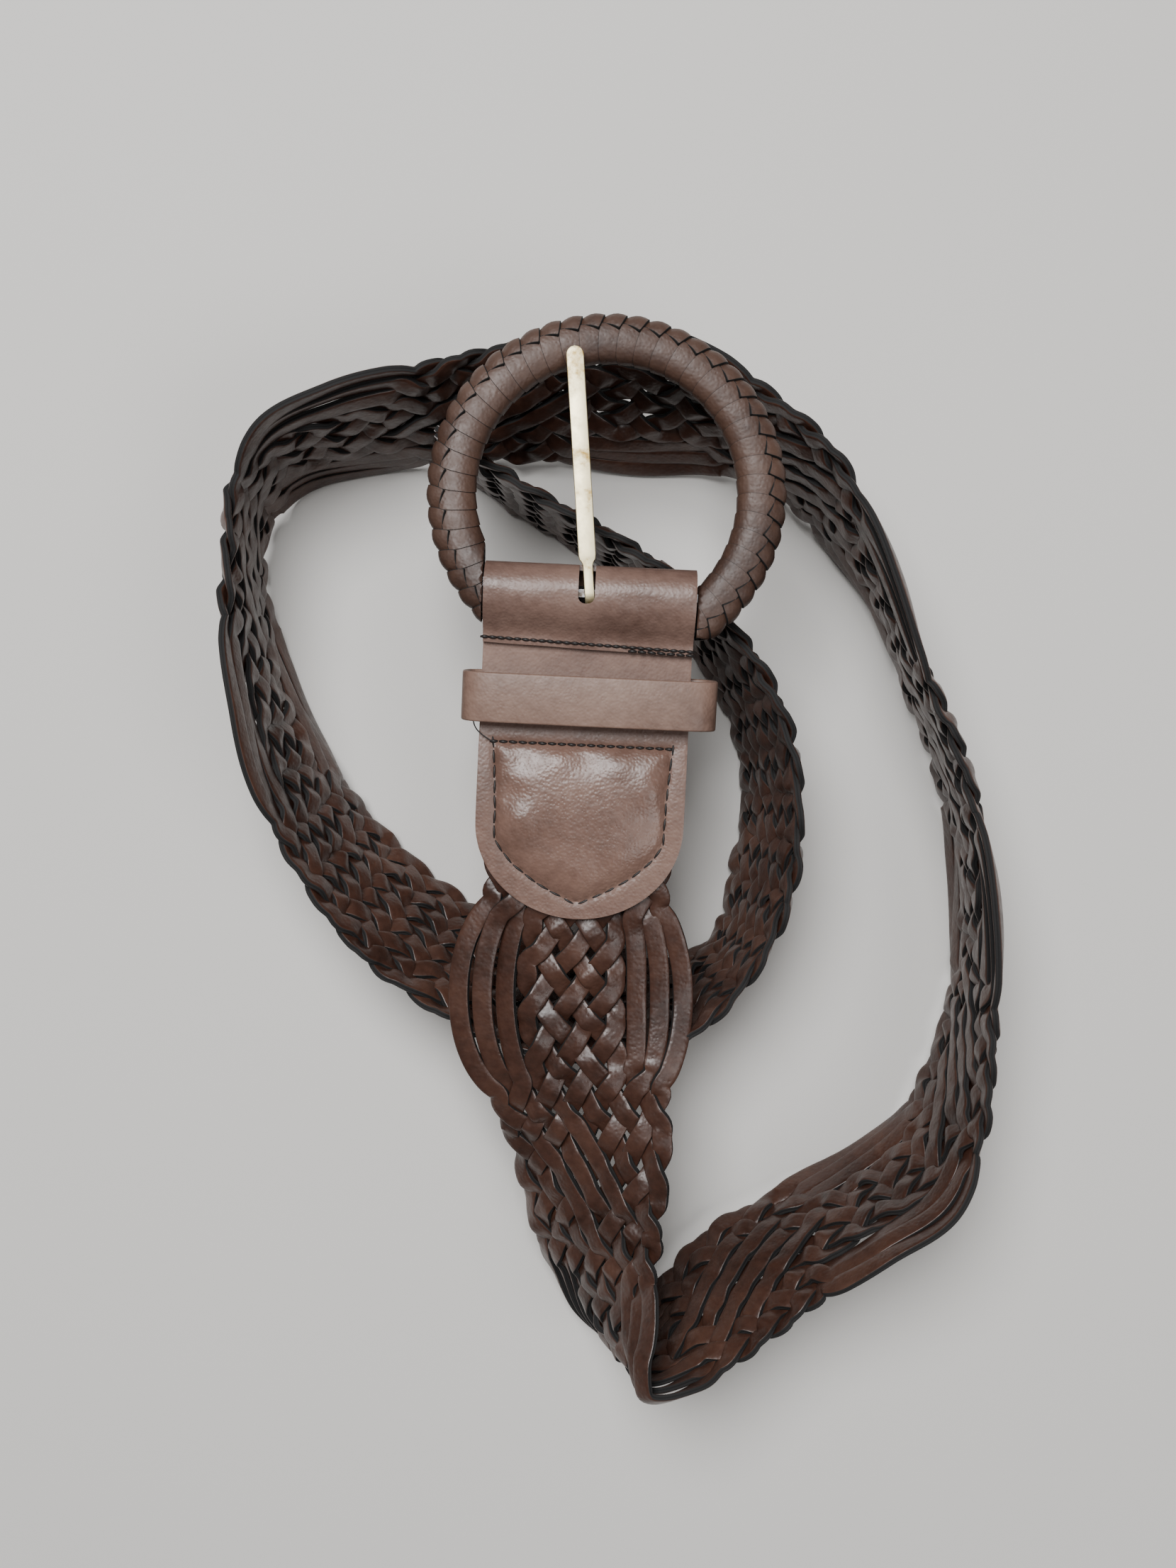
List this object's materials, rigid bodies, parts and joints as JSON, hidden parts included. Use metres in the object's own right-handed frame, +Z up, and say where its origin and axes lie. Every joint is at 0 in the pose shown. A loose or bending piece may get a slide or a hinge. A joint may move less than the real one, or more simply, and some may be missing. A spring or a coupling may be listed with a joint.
{
  "type": "braided belt",
  "caption": "Braided leather waist belt, unfastened and loosely coiled on edge, with a plait-wrapped ring buckle, hinged prong, stitched padded tab and a plain keeper loop.",
  "frame": {"origin": "on the floor, under the middle of the belt's bounding box", "axes": "+Z up from the floor, +Y along the tab towards the ring, +X to the right seen from above"},
  "size_m": [0.1992, 0.2696, 0.0632],
  "materials": {
    "braid_leather": "smooth bonded leather strands, dark cut edges",
    "tab_leather": "fine grain, semi-matt",
    "tab_front_leather": "fine grain, semi-gloss, padded",
    "keeper_leather": "fine grain, semi-matt",
    "ring_lacing": "smooth flat lacing, semi-gloss",
    "frame_steel": "plain wire",
    "pale_metal": "pale champagne plating with slight tarnish"
  },
  "bodies": {
    "belt": {"strap": "braid_leather", "tab_back": "tab_leather", "tab_front": "tab_front_leather", "keeper": "keeper_leather"},
    "ring": {"buckle_frame": "frame_steel", "ring_wrap": "ring_lacing"},
    "prong": {"prong": "pale_metal"}
  },
  "joints": [
    {"name": "ring_swing", "type": "hinge", "parent": "belt", "child": "ring", "pos_m": [-0.00422, 0.06495, 0.0564], "axis": [1, 0, 0], "range_deg": [0, 40]},
    {"name": "prong_swing", "type": "hinge", "parent": "ring", "child": "prong", "pos_m": [-0.00422, 0.06495, 0.0564], "axis": [1, 0, 0], "range_deg": [0, 30]}
  ]
}
